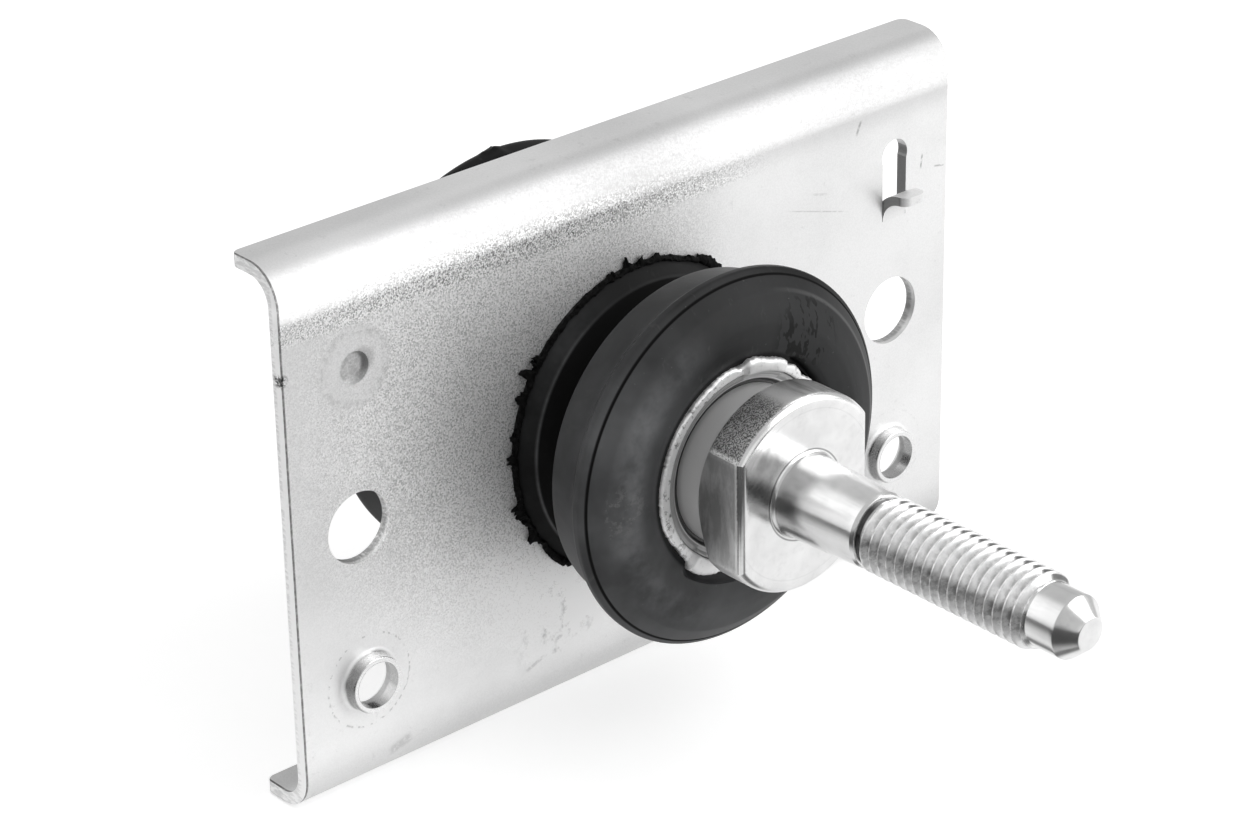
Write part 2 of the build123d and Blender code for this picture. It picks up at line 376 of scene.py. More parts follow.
def edge_marks_and_painted_shade(place, colour, x, y):
    """Sheared edges, the nick and torn hole walls, and painted shade at the burr, the collars, slot and
    tongue.
    """
    streaks = speckle(place, 1900.0, 2.0, 0.6, (1.0, 0.25, 1.0))
    blot = speckle(place, 900.0, 3.0, 0.7)
    normal = place.id_data.nodes.new("ShaderNodeNewGeometry").outputs["True Normal"]
    facing = add("ShaderNodeSeparateXYZ", Vector=normal).outputs[0]
    sideways = slide(calc("ABSOLUTE", facing), 0.90, 0.97)
    outer = slide(calc("ABSOLUTE", x), HALF_WIDTH - 0.3, HALF_WIDTH - 0.1)
    torn = times(sideways, outer, slide(streaks, 0.35, 0.62), slide(y, 0.9, 1.6, 0.02, 0.22))
    sheared = times(sideways, outer, slide(torn, 0.0, 0.2, 0.8, 0.3))
    colour = blend("MIX", sheared, darken(colour, (torn, 0.42)), 1.0)
    # Painted shade: a dark line along the left edge's burr on the front face.
    rim = times(slide(x, 0.44 - HALF_WIDTH, 0.32 - HALF_WIDTH), inside(sideways, 0.0))
    nick = near_spot(place, -HALF_WIDTH + 0.2, 27.6, reach=(0.5, 1.3))
    nick = times(nick, slide(blot, 0.40, 0.52), slide(y, 1.3, 1.7, 1.0, 0.2))
    colour = darken(colour, (times(rim, slide(blot, 0.30, 0.60, 0.6, 1.0)), 0.22), (nick, 0.10))
    for spot in BOLT_PLACES:
        wall = near_spot(place, *spot, reach=(BOLT_HOLE_RADIUS + 0.02, BOLT_HOLE_RADIUS + 0.08))
        torn_wall = times(wall, slide(y, 0.5, 1.1), slide(streaks, 0.3, 0.6, 0.35, 0.9))
        colour = darken(colour, (torn_wall, 0.45))
    for centre_x, centre_z in COLLAR_PLACES:
        reach = distance_from(place, centre_x, centre_z)
        # Painted shade inside each collar's bore and on its left outer wall.
        bore = slide(reach, 3.75, 3.80, 0.60, 0.0)
        left = slide(calc("SUBTRACT", x, centre_x), -1.0, -3.6)
        outside = times(band(reach, 4.35, 5.3, 0.15), slide(y, -0.15, -0.6), left, 0.9)
        colour = darken(colour, (most(bore, outside), 0.32))
    # Painted shade, faint on the tongue and dark on the slot's walls.
    tongue = times(near_spot(place, SLOT_X, 18.0, reach=(6.0, 6.6)), slide(y, -0.4, -1.6))
    slot = times(near_spot(place, SLOT_X, 22.0, reach=(8.5, 9.0)), sideways, 0.9)
    return darken(colour, (tongue, 0.96), (slot, 0.34))


def burnished(place, y):
    """1 where the tool rubbed the drawn collars bright."""
    near = [near_spot(place, *spot, reach=(6.6, 7.2)) for spot in COLLAR_PLACES]
    return times(slide(y, -0.15, -0.5), most(*near))


print("drawn collars", len(COLLAR_PLACES))

# %% Plate finish
def plate_finish():
    """Satin zinc with grain, press marks, scratches, smudges, burnished collars, and painted light and
    shade.
    """
    finish, shader, place = new_finish("zinc_sheet")
    x, y, z = parts_of(place)
    grain = grains(place, 5000.0)
    clouds = speckle(place, 34.0, 4.0, 0.6)
    strength = grain_strength(place, x, z)
    lift = times(calc("SUBTRACT", grain, 0.5), strength)
    colour = times(tone_and_painted_light(place, clouds, x, y, z), calc("ADD", lift, 1.0))
    smudges = slide(speckle(place, 260.0, 4.0, 0.65), 0.52, 0.66)
    smudged = near_spot(place, -17.5, -30.5, reach=(3.0, 11.0))
    worn = times(slide(speckle(place, 420.0, 3.0, 0.7), 0.62, 0.72), 0.45)
    colour = darken(press_marks_and_painted_shade(place, colour), (times(smudges, smudged), 0.70), (worn, 0.82))
    for start, end, width, shade in SCRATCHES:
        colour = darken(colour, (scratch(place, start, end, width), shade))
    worked = burnished(place, y)
    satin = slide(grain, 0.3, 0.7, 0.56, 0.44)
    relief = bump(clouds, 0.0004, 0.15)
    relief = bump(fade(z, FOLD_TOP - 2.9, FOLD_TOP + 1.9), 0.0010, 1.0, relief)
    wire(
        shader,
        Base_Color=edge_marks_and_painted_shade(place, colour, x, y),
        Metallic=slide(worked, 0.0, 1.0, 0.68, 1.0),
        Roughness=times(satin, inside(worked, 0.60)),
        Normal=bump(times(grain, strength), 0.00003, 0.6, relief),
    )
    return finish


ZINC_SHEET = plate_finish()
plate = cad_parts["mounting_plate"]
plate.data.materials.clear()
plate.data.materials.append(ZINC_SHEET)
print("plate faces", len(plate.data.polygons))

# %% [markdown]
# Three of the four pieces are bodies of revolution about the stud's axis. One helper draws an outline of
# (radius, station) points in millimetres and rounds its corners, and another spins it into a closed mesh.
# Stations run along Y: the plate's front face is at 0, and the stud points to minus Y.

# %% Outline and lathe helpers
def rounded(points, radii, step=12.0):
    """Outline with its corners rounded; radii of 0 stay sharp. step is the arc's angle for each point."""
    outline = []
    count = len(points)
    for index, (point, radius) in enumerate(zip(points, radii)):
        here = Vector(point)
        if radius <= 0.0:
            outline.append(here)
            continue
        before = (Vector(points[index - 1]) - here).normalized()
        after = (Vector(points[(index + 1) % count]) - here).normalized()
        half = before.angle(after) / 2
        middle = here + (before + after).normalized() * radius / math.sin(half)
        start = here + before * radius / math.tan(half) - middle
        sweep = math.pi - 2 * half
        side = 1.0 if start.x * (after.y - before.y) - start.y * (after.x - before.x) > 0 else -1.0
        pieces = max(2, round(math.degrees(sweep) / step))
        for part in range(pieces + 1):
            turned = start.copy()
            turned.rotate(Matrix.Rotation(side * sweep * part / pieces, 2))
            outline.append(middle + turned)
    return outline


def refined(outline, longest, closed):
    """Outline with its long runs divided, so that no run is longer than asked."""
    result = []
    runs = len(outline) if closed else len(outline) - 1
    for index in range(runs):
        here, there = outline[index], outline[(index + 1) % len(outline)]
        pieces = max(1, math.ceil((there - here).length / longest))
        result += [here.lerp(there, part / pieces) for part in range(pieces)]
    return result if closed else result + [outline[-1]]


def lathe(outline, around, closed=False, shape=None):
    """Mesh of an outline spun about Y. shape(angle, radius, station) may move a point."""
    mesh = bmesh.new()
    rows = []
    for radius, station in outline:
        if radius < 1e-6:
            rows.append([mesh.verts.new((0.0, station * MM, 0.0))])
            continue
        row = []
        for column in range(around):
            angle = 2 * math.pi * column / around
            turn, out, along = shape(angle, radius, station) if shape else (angle, radius, station)
            row.append(mesh.verts.new(Vector((out * math.cos(turn), along, out * math.sin(turn))) * MM))
        rows.append(row)
    for first, second in list(zip(rows, rows[1:])) + ([(rows[-1], rows[0])] if closed else []):
        for column in range(around):
            following = (column + 1) % around
            if len(first) == 1:
                mesh.faces.new((first[0], second[column], second[following]))
            elif len(second) == 1:
                mesh.faces.new((first[column], second[0], first[following]))
            else:
                mesh.faces.new((first[column], second[column], second[following], first[following]))
    return mesh


MERGE_DISTANCE = 1e-7


def finish_piece(name, mesh, finish, sharp=35.0):
    """Object from a bmesh, merged, with outward faces and smooth shading up to an angle."""
    bmesh.ops.remove_doubles(mesh, verts=mesh.verts, dist=MERGE_DISTANCE)
    bmesh.ops.dissolve_degenerate(mesh, edges=mesh.edges, dist=MERGE_DISTANCE)
    bmesh.ops.recalc_face_normals(mesh, faces=mesh.faces)
    data = bpy.data.meshes.new(name)
    mesh.to_mesh(data)
    mesh.free()
    data.shade_smooth()
    data.set_sharp_from_angle(angle=math.radians(sharp))
    data.materials.append(finish)
    piece = bpy.data.objects.new(name, data)
    bpy.context.collection.objects.link(piece)
    print(name, "faces", len(data.polygons))
    return piece


def clamped(value):
    """Value kept between 0 and 1."""
    return min(max(value, 0.0), 1.0)


def within(degrees, span, edge):
    """1 inside a span of degrees, 0 outside, with a soft edge."""
    rise = clamped((degrees - span[0]) / edge + 0.5)
    fall = clamped((span[1] - degrees) / edge + 0.5)
    amount = min(rise, fall)
    return amount * amount * (3 - 2 * amount)


print("lathe ready")

# %% [markdown]
# The rubber is a matt charcoal, smooth from its mould. Where it was touched and aired it has a faint grey
# bloom, which makes broad soft highlights. Deep in its grooves there is no bloom, and painted shade keeps
# it black there. The finish reads the radius and the station of each point, and takes the bloom out of,
# and paints shade into, the grooves, the foot at the plate, the seam round the core, and the thin parting
# line on the slope in front of the rim's edge; painted shade and highlights also lie across the lip. Short
# scuffs, a pocked spot and a chafed spot on the front lip come from noises that are cut off near their
# tops.

# %% Rubber finish
BLOOM_DARK = (0.0365, 0.0370, 0.0382)
BLOOM_LIGHT = (0.0930, 0.0945, 0.0970)
POCKED_PLACE = (12.4, 18.2)
CHAFED_PLACE = (-24.5, 0.5)
PARTING = -21.38


def bare_and_shaded_places(radius, y, z):
    """1 where the rubber has no bloom and where shade is painted nearly black."""
    # Each place has no bloom and also holds painted shade: the grooves, the foot, the parting line, the
    # rubber behind the plate and the seam by the core.
    front_groove = times(band(y, -11.3, -3.1, 0.25), fade(radius, 26.2, 27.0))
    foot = times(band(y, -2.9, 0.5, 0.3), slide(z, 0.0, 22.0, 0.93, 0.62))
    parting = times(band(y, PARTING - 0.16, PARTING + 0.16, 0.08), slide(radius, 28.6, 28.9))
    rear_groove = times(band(y, 1.5, 23.0, 1.0), 0.9)
    seam = times(band(radius, 16.0, 17.9, 0.35), band(y, -25.5, -22.0, 0.3), 0.8)
    return most(front_groove, foot, parting, rear_groove, seam)


def painted_highlight_streak(place, radius, x):
    """Broad cloudy painted highlight on the left of the front lip."""
    cloud = speckle(place, 130.0, 4.0, 0.65)
    return times(band(radius, 21.5, 26.0, 1.6), slide(x, -4.0, -14.0), slide(cloud, 0.35, 0.65))


def front_marks(place, colour, y):
    """Pocked spot and chafed spot on the front lip."""
    front = fade(y, -23.6, -22.8)
    pocks = slide(speckle(place, 800.0, 2.0, 0.6, (1.0, 1.0, 0.4)), 0.52, 0.56)
    pocked = times(pocks, near_spot(place, *POCKED_PLACE, reach=(4.0, 8.0)), front)
    chafes = slide(speckle(place, 620.0, 4.0, 0.75), 0.52, 0.62)
    near_chafe = slide(distance_from(place, *CHAFED_PLACE), 2.0, 6.0, 0.45, 0.0)
    colour = darken(colour, (pocked, 0.04))
    return blend("MIX", times(chafes, near_chafe, front), colour, 0.16)


def rubber_finish():
    """Charcoal moulded rubber with bloom, scuffs, small pits, and painted light and shade."""
    finish, shader, place = new_finish("moulded_rubber")
    x, y, z = parts_of(place)
    radius = distance_from(place, 0.0, 0.0)
    bare_and_shaded = bare_and_shaded_places(radius, y, z)
    bloom = speckle(place, 55.0, 4.0, 0.6)
    scuffs = speckle(place, 520.0, 3.0, 0.7, (1.0, 0.35, 0.45))
    colour = ramp(bloom, (0.32, BLOOM_DARK), (0.68, BLOOM_LIGHT))
    # Painted shade: the rubber is darker towards the right and the top, and darker behind the plate.
    shaded = slide(calc("ADD", times(x, 0.92), times(z, 0.40)), -20.0, 7.0)
    # Painted highlight: the broad cloudy band on the left of the front lip is painted lighter.
    streak = times(painted_highlight_streak(place, radius, x), 0.7)
    colour = darken(colour, (shaded, 0.29), (slide(y, 0.0, 4.0), 0.30), (streak, 2.2))
    colour = blend("MIX", times(slide(scuffs, 0.62, 0.74), 0.30), colour, 0.075)
    # Painted highlight: a thin light ring along the crest on the right of the front lip.
    crest_highlight = times(band(radius, 27.1, 27.6, 0.2), slide(x, 4.0, 18.0), slide(z, -12.0, 0.0), 0.5)
    colour = front_marks(place, blend("MIX", crest_highlight, colour, 0.12), y)
    specks = times(slide(speckle(place, 1500.0, 1.0, 0.5), 0.76, 0.80), 0.25)
    colour = blend("MIX", specks, colour, 0.14)
    # Painted shade: the outer slope beyond the parting line is painted near black on the right.
    outer = times(slide(radius, 28.9, 29.3), slide(x, -2.0, 16.0), 0.85)
    gloss = slide(bloom, 0.25, 0.75, 0.38, 0.54)
    wire(
        shader,
        Base_Color=darken(colour, (most(bare_and_shaded, outer), 0.03)),
        Roughness=most(gloss, times(bare_and_shaded, 0.85)),
        Specular_IOR_Level=0.16,
        Normal=bump(scuffs, 0.00008, 0.30, bump(bloom, 0.0006, 0.12)),
    )
    return finish


MOULDED_RUBBER = rubber_finish()
print("rubber finish ready")

# %% [markdown]
# The isolator is one moulded ring. Its outline goes round the section once: the front mouth, the domed
# front lip with its rim, the groove, the ridge at the plate, the grip through the plate's hole, and the
# rear lip. Real rubber isn't perfectly round, so every point is moved a few hundredths of a millimetre by
# a slow noise. The mouth sinks beside the core's lugs, which leaves two dark pockets, and a scrap of
# flash stands up from the rear rim.

# %% Rubber isolator
RUBBER_GRIP_RADIUS = 21.98
RUBBER_BORE_RADIUS = 16.82
RUBBER_POINTS = [
    (RUBBER_BORE_RADIUS, -23.6), (19.0, -24.35), (22.6, -24.85), (27.0, -23.3), (29.12, -21.52),
    (29.20, -21.36), (29.48, -21.22), (30.2, -20.6), (30.1, -19.3), (28.4, -17.6), (27.15, -11.2),
    (19.5, -8.0), (23.4, -2.7), (25.55, -0.03), (RUBBER_GRIP_RADIUS, -0.03),
    (RUBBER_GRIP_RADIUS, 2.03), (25.55, 2.03), (23.4, 4.7), (19.5, 11.0), (33.2, 26.6),
    (34.9, 32.6), (30.0, 36.6), (22.0, 36.6), (RUBBER_BORE_RADIUS, 35.4),
]
RUBBER_RADII = [0, 3, 7, 1.2, 0.05, 0, 0.05, 0.7, 0.8, 2, 0.5, 2, 0.5, 0, 0, 0, 0, 0.6, 4, 1, 2, 4, 4, 0]
# Each pocket has its first and last angle in degrees, and the radius that it reaches.
POCKETS = ((20.0, 55.0, 18.2), (229.0, 264.0, 19.0))
FLASH_SPAN = (90.0, 95.0)
FLASH_HEIGHT = 0.6
POCKET_DEPTH = 1.3
RUBBER_COLUMNS = 288


def rubber_shape(angle, radius, station):
    """Slow unevenness, lug pockets and rear flash; nothing moves where the rubber touches steel."""
    if radius < RUBBER_GRIP_RADIUS + 0.1 and -0.1 < station < 2.1 or radius < RUBBER_BORE_RADIUS + 0.1:
        return angle, radius, station
    degrees = math.degrees(angle)
    spot = Vector((math.cos(angle) * 1.5, station * 0.12, math.sin(angle) * 1.5))
    uneven = 0.06 * noise.noise(spot)
    if station < -22.5 and radius < 19.0:
        sunk = 0.0
        for start, end, reach in POCKETS:
            edge = clamped((reach - radius) / 0.5)
            sunk = max(sunk, within(degrees, (start, end), 9.0) * edge)
        return angle, radius, station + POCKET_DEPTH * sunk
    if 29.0 < station < 33.5 and radius > 34.0:
        ragged = 0.6 + 0.8 * noise.noise(Vector((degrees * 0.9, station * 2.0, 0.0)))
        uneven += FLASH_HEIGHT * within(degrees, FLASH_SPAN, 3.0) * ragged
    return angle, radius + uneven, station


rubber_outline = refined(rounded(RUBBER_POINTS, RUBBER_RADII), 0.8, True)
isolator_mesh = lathe(rubber_outline, RUBBER_COLUMNS, closed=True, shape=rubber_shape)
isolator = finish_piece("isolator_body", isolator_mesh, MOULDED_RUBBER)

# %% [markdown]
# Geometry Nodes make what follows a rule. Both trees below start from a grid that is rolled up into a
# tube or a ring, so a small helper does that part: it turns the grid's two directions into an angle and a
# second value from 0 to 1. Another helper runs a tree on an empty mesh, with its inputs set by their
# identifiers, and keeps the plain mesh that comes out.

# %% Geometry Nodes helpers
SEAM_DISTANCE = 1e-6


def node_group(name, **sizes):
    """Geometry tree with a geometry input and output and named number inputs."""
    tree = bpy.data.node_groups.new(name, "GeometryNodeTree")
    tree.interface.new_socket("Geometry", in_out="INPUT", socket_type="NodeSocketGeometry")
    tree.interface.new_socket("Geometry", in_out="OUTPUT", socket_type="NodeSocketGeometry")
    for label, value in sizes.items():
        kind = "NodeSocketInt" if isinstance(value, int) else "NodeSocketFloat"
        socket = tree.interface.new_socket(label.replace("_", " "), in_out="INPUT", socket_type=kind)
        socket.default_value = value
    source = tree.nodes.new("NodeGroupInput")
    sink = tree.nodes.new("NodeGroupOutput")
    return tree, source.outputs, sink.inputs[0]


def rolled_grid(tree, around, along):
    """Unit grid, with its angle in radians and its share along from 0 to 1."""
    columns = calc("ADD", around, 1.0)
    sheet = add("GeometryNodeMeshGrid", Size_X=1.0, Size_Y=1.0, Vertices_X=columns, Vertices_Y=along)
    flat = add("ShaderNodeSeparateXYZ", Vector=tree.nodes.new("GeometryNodeInputPosition").outputs[0])
    angle = times(calc("ADD", flat.outputs[0], 0.5), 2 * math.pi)
    return sheet.outputs[0], angle, calc("ADD", flat.outputs[1], 0.5)


def round_place(angle, radius, station):
    """Point at an angle and radius about Y, at a station along it."""
    x = times(radius, calc("COSINE", angle))
    z = times(radius, calc("SINE", angle))
    return add("ShaderNodeCombineXYZ", X=x, Y=station, Z=z).outputs[0]


def close_tree(tree, geometry, finish, result):
    """Merged, realised and coated end of a tree."""
    seam = add("GeometryNodeMergeByDistance", Geometry=geometry, Distance=SEAM_DISTANCE)
    real = add("GeometryNodeRealizeInstances", Geometry=seam.outputs[0])
    coat = add("GeometryNodeSetMaterial", Geometry=real.outputs[0], Material=finish)
    tree.links.new(coat.outputs[0], result)


def grow(name, tree, **sizes):
    """Object with the plain mesh of a geometry tree that was run with the given inputs."""
    host = bpy.data.objects.new(name, bpy.data.meshes.new(name))
    bpy.context.collection.objects.link(host)
    modifier = host.modifiers.new("grow", "NODES")
    modifier.node_group = tree
    names = {item.name: item.identifier for item in tree.interface.items_tree if item.in_out == "INPUT"}
    for label, value in sizes.items():
        modifier[names[label.replace("_", " ")]] = value
    bpy.context.view_layer.update()
    evaluated = host.evaluated_get(bpy.context.evaluated_depsgraph_get())
    grown = bpy.data.meshes.new_from_object(evaluated)
    host.modifiers.clear()
    host.data = grown
    print(name, "faces", len(grown.polygons))
    return host


print("Geometry Nodes helpers ready")

# %% [markdown]
# Where the mould closed on the plate, rubber was squeezed out and tore when the mould opened. It left a
# thin, ragged black skirt round the foot of the ridge, on both faces of the plate. It can't be scattered
# lumps, which look like beads. Here it is one flat ring with an oval section, whose width changes round
# the circle: one noise makes the long swells, a finer one makes the torn teeth, and a last noise roughens
# the surface. The inputs Heaviest and Seed give the angle where most rubber was left and the pattern that
# it tore in. The skirt has a finish of its own, because torn rubber is black, without bloom.

# %% Torn rubber skirt
def torn_finish():
    """Black torn rubber, without bloom or shine."""
    finish, shader, place = new_finish("torn_rubber")
    colour = ramp(speckle(place, 1200.0), (0.35, 0.0015), (0.65, 0.006))
    wire(shader, Base_Color=colour, Roughness=0.8, Specular_IOR_Level=0.12)
    return finish

TORN_RUBBER = torn_finish()


def skirt_tree():
    """Ragged ring that lies against the plate."""
    tree, given, result = node_group(
        "torn_skirt",
        Inner=0.0249,
        Station=0.0,
        Side=-1.0,
        Width=0.0006,
        Tear=0.0026,
        Height=0.0011,
        Heaviest=2.55,
        Seed=3.0,
        Around=1400,
    )
    sheet, angle, share = rolled_grid(tree, given["Around"], 13)
    circle = round_place(angle, 1.0, given["Seed"])
    swell = add("ShaderNodeTexNoise", Vector=circle, Scale=4.0, Detail=1.0).outputs["Fac"]
    teeth = add("ShaderNodeTexNoise", Vector=circle, Scale=9.0, Detail=3.0, Roughness=0.6).outputs["Fac"]
    lean = calc("MAXIMUM", calc("COSINE", calc("SUBTRACT", angle, given["Heaviest"])), 0.25)
    torn = times(slide(swell, 0.44, 0.60), slide(teeth, 0.48, 0.60), lean, given["Tear"])
    fine = times(slide(teeth, 0.30, 0.70), 0.0004)
    width = calc("ADD", calc("ADD", given["Width"], torn), fine)
    turn_by = times(share, 2 * math.pi)
    reach = times(width, calc("ADD", times(calc("COSINE", turn_by), 0.5), 0.5))
    lift = times(given["Height"], calc("ADD", times(calc("SINE", turn_by), 0.5), 0.52))
    lower = slide(reach, 0.0006, 0.0030, 1.0, 0.55)
    station = calc("ADD", given["Station"], times(lift, lower, given["Side"]))
    spot = round_place(angle, calc("ADD", given["Inner"], reach), station)
    shaped = add("GeometryNodeSetPosition", Geometry=sheet, Position=spot)
    joined = add("GeometryNodeMergeByDistance", Geometry=shaped.outputs[0], Distance=SEAM_DISTANCE)
    position = tree.nodes.new("GeometryNodeInputPosition").outputs[0]
    rough = add("ShaderNodeTexNoise", Vector=position, Scale=900.0, Detail=2.0, Roughness=0.6)
    grey = (0.5, 0.5, 0.5)
    sideways = (0.0017, 0.0, 0.0017)
    centred = add("ShaderNodeVectorMath", {"operation": "SUBTRACT"}, i_0=rough.outputs["Color"], i_1=grey)
    kept_off = add("ShaderNodeVectorMath", {"operation": "MULTIPLY"}, i_0=centred.outputs[0], i_1=sideways)
    roughened = add("GeometryNodeSetPosition", Geometry=joined.outputs[0], Offset=kept_off.outputs[0])
    close_tree(tree, roughened.outputs[0], TORN_RUBBER, result)
    return tree


skirt = skirt_tree()
front_skirt = grow("fringe_front", skirt, Station=-0.00002, Side=-1.0)
rear_skirt = grow("fringe_rear", skirt, Station=0.00202, Side=1.0, Heaviest=1.2, Seed=11.0)

# %% [markdown]
# The core sleeve is steel, bonded into the rubber. Only its front rim shows: a rounded and pitted bead, a
# fine turned line inside it, and the gap round the stud's shoulder, darkened by painted shade. The bead
# was cropped roughly, so its outer edge isn't round. It follows a short list of radii read from the
# photograph, and two lugs stand a little proud.

# %% Core finish
LUG_MIDDLES = ((4.3, 15.9), (-8.6, -14.3))
LUG_REACHES = ((4.2, 4.8), (3.4, 4.0))


def core_finish():
    """Pale steel with small dark pits on the bead, a satin inside, and painted shade round the stud."""
    finish, shader, place = new_finish("core_steel")
    radius = distance_from(place, 0.0, 0.0)
    pits = speckle(place, 1300.0, 3.0, 0.7)
    spots = speckle(place, 500.0, 2.0, 0.6)
    clouds = speckle(place, 110.0, 3.0, 0.6)
    lug = most(*[near_spot(place, *middle, reach) for middle, reach in zip(LUG_MIDDLES, LUG_REACHES)])
    bead = times(slide(radius, 15.1, 15.4), inside(lug, 0.25))
    colour = darken(
        slide(clouds, 0.3, 0.7, 0.80, 1.0),
        (times(lug, 0.8), 0.86),
        (times(fade(pits, 0.34, 0.45), bead), 0.45),
        (times(slide(spots, 0.58, 0.64), bead, 0.6), 0.45),
        (times(band(radius, 13.9, 15.1, 0.12), inside(lug, 0.4)), 0.42),
        (band(radius, 14.98, 15.14, 0.06), 0.35),
        # Painted shade: the gap round the stud's shoulder is painted nearly black.
        (fade(radius, 13.55, 13.80), 0.10),
    )
    roughness = slide(clouds, 0.3, 0.7, 0.46, 0.34)
    normal = bump(times(pits, bead), 0.00010, 0.5)
    wire(shader, Base_Color=colour, Metallic=0.55, Roughness=roughness, Normal=normal)
    return finish

CORE_STEEL = core_finish()

# %% Core sleeve
CORE_POINTS = [
    (13.7, -23.4), (14.4, -23.75), (15.0, -23.70), (15.2, -24.2), (16.8, -24.2), (16.8, 36.0),
    (9.8, 36.0), (8.0, 34.4), (8.0, -22.8), (13.2, -22.8), (13.4, -23.2),
]
CORE_RADII = [0.1, 0.2, 0, 0.4, 0.55, 0.6, 0, 0, 0, 0, 0]
RIM_RADIUS = 16.8
BEAD_START = 15.3
# The rim's outer edge: angles in degrees, each with its radius.
RIM_EDGE = [
    (0, 16.9), (36, 16.9), (43, 16.2), (51, 16.9), (57, 16.5), (62, 17.1), (76, 17.1), (84, 17.5),
    (88, 17.45), (92, 16.3), (98, 16.95), (105, 17.0), (114, 16.7), (133, 16.6), (143, 16.8),
    (162, 16.6), (170, 16.9), (196, 17.15), (206, 16.95), (215, 16.6), (226, 16.9), (228, 17.9),
    (236, 17.9), (244, 17.55), (249, 17.0), (268, 16.95), (360, 16.9),
]
LUG_SPANS = ((60.0, 90.0), (227.0, 251.0))
LUG_STAND = 0.7
CORE_COLUMNS = 300


def rim_edge(degrees):
    """Radius of the rim's outer edge at an angle, straight between the listed points."""
    for (first, low), (second, high) in zip(RIM_EDGE, RIM_EDGE[1:]):
        if degrees <= second:
            return low + (high - low) * (degrees - first) / (second - first)
    return RIM_EDGE[-1][1]


def core_shape(angle, radius, station):
    """Uneven rim with two raised lugs."""
    if station > -21.0 or radius < 14.3:
        return angle, radius, station
    degrees = math.degrees(angle)
    rough = noise.noise(Vector((math.cos(angle) * 14, math.sin(angle) * 14, radius * 0.6)))
    ragged = noise.noise(Vector((math.cos(angle) * 40, math.sin(angle) * 40, 2.0)))
    share = clamped((radius - BEAD_START) / (RIM_RADIUS - BEAD_START))
    front = clamped((-station - 21.5) / 1.5)
    outward = (rim_edge(degrees) - RIM_RADIUS + 0.24 * ragged) * share * front
    lug = max(within(degrees, span, 3.0) for span in LUG_SPANS)
    raised = clamped((radius - 14.4) / 0.4)
    forward = (LUG_STAND * lug * raised + 0.08 * rough * share * (1.0 - lug)) * front
    return angle, radius + outward, station - forward


core_outline = refined(rounded(CORE_POINTS, CORE_RADII, 18.0), 0.45, True)
core_mesh = lathe(core_outline, CORE_COLUMNS, closed=True, shape=core_shape)
core = finish_piece("core_ring", core_mesh, CORE_STEEL, 40.0)

# %% [markdown]
# The stud is one forging with bright zinc on it. Its shank is drawn smooth and mirrors what stands round
# it. The collar's side keeps the dark, rough skin of the forging, and its two wrench flats are streaked
# by the die; a painted highlight runs along the left flat's edges. The finish reads the radius, the station
# and the turn about the axis to tell these places apart. Plating hardly reaches into the groove before the
# thread, so it is dark, and painted shade makes it darker on the left. The thread is duller than the shank,
# its roots are in painted shade, darkest along the top, and a painted dark reflection runs along its left
# side. Two more painted dark reflections lie on the shank's root and on the collar's face.

# %% Stud places and noises
COLLAR_FRONT = -37.1
COLLAR_REAR = -27.8
SHOULDER_RADIUS = 12.8
HALF_FLATS = 13.0
THREAD_START = -53.9
THREAD_END = -86.2
# Each noise has its scale, detail and roughness, and how it is stretched.
STUD_NOISES = {
    "lines": (900.0, 3.0, 0.7, (1.0, 0.10, 1.0)),
    "clouds": (140.0, 3.0, 0.6),
    "crust": (4200.0, 2.0, 0.6),
    "die": (480.0, 4.0, 0.65, (1.0, 1.0, 0.30)),
    "pulled": (420.0, 3.0, 0.6, (1.0, 0.25, 1.0)),
    "ragged": (900.0, 3.0, 0.7),
}
print("stud noises", sorted(STUD_NOISES))

# %% Stud marks
def collar_marks_and_highlight(colour, grit, side, on_flat, turn, y, z):
    """Forged skin of the round side, drawn streaks on top, streaked flats and a painted highlight at the
    left flat's edges.
    """
    round_side = times(side, calc("SUBTRACT", 1.0, on_flat))
    scaly = times(round_side, slide(turn, 98.0, 108.0))
    drawn = times(round_side, band(turn, 50.0, 90.0, 6.0))
    height = calc("ABSOLUTE", calc("ADD", z, 1.0))
    # The flats are darker along their middle, most towards the rear.
    darker_mid_flat = times(on_flat, slide(height, 2.5, 7.5, 0.9, 0.0), slide(y, -35.6, -32.5, 0.35, 1.0))
    colour = darken(
        colour,
        (times(scaly, slide(grit["clouds"], 0.35, 0.60, 0.45, 0.90)), 0.46),
        (times(scaly, slide(grit["crust"], 0.58, 0.42)), 0.22),
        (times(drawn, slide(grit["pulled"], 0.35, 0.60, 0.95, 0.35)), 0.30),
        (times(on_flat, slide(grit["die"], 0.60, 0.40, 0.05, 1.0)), 0.74),
        (darker_mid_flat, 0.62),
    )
    # Painted highlight: a pale line along the rounded edges of the left flat.
    ridge_highlight = times(side, slide(grit["crust"], 0.40, 0.55, 0.4, 1.0))
    ridge_highlight = times(ridge_highlight, band(calc("ABSOLUTE", turn), 142.6, 146.8, 1.2))
    return blend("MIX", ridge_highlight, colour, 0.80), round_side


def painted_dark_reflections(colour, grit, radius, turn, y):
    """Painted dark reflections on the root of the shank and on the collar's face."""
    on_shank = times(band(y, -42.4, -37.9, 1.2), slide(calc("ABSOLUTE", turn), 142.0, 156.0))
    on_shank = times(on_shank, slide(radius, 7.2, 7.0))
    on_face = times(band(radius, 8.0, 12.8, 0.5), band(turn, 122.0, 160.0, 6.0))
    on_face = times(on_face, slide(y, COLLAR_FRONT + 0.30, COLLAR_FRONT + 0.05), 0.7)
    patch = times(slide(grit["pulled"], 0.34, 0.60, 1.0, 0.45), 0.85)
    return darken(colour, (times(most(on_shank, on_face), patch), 0.40))


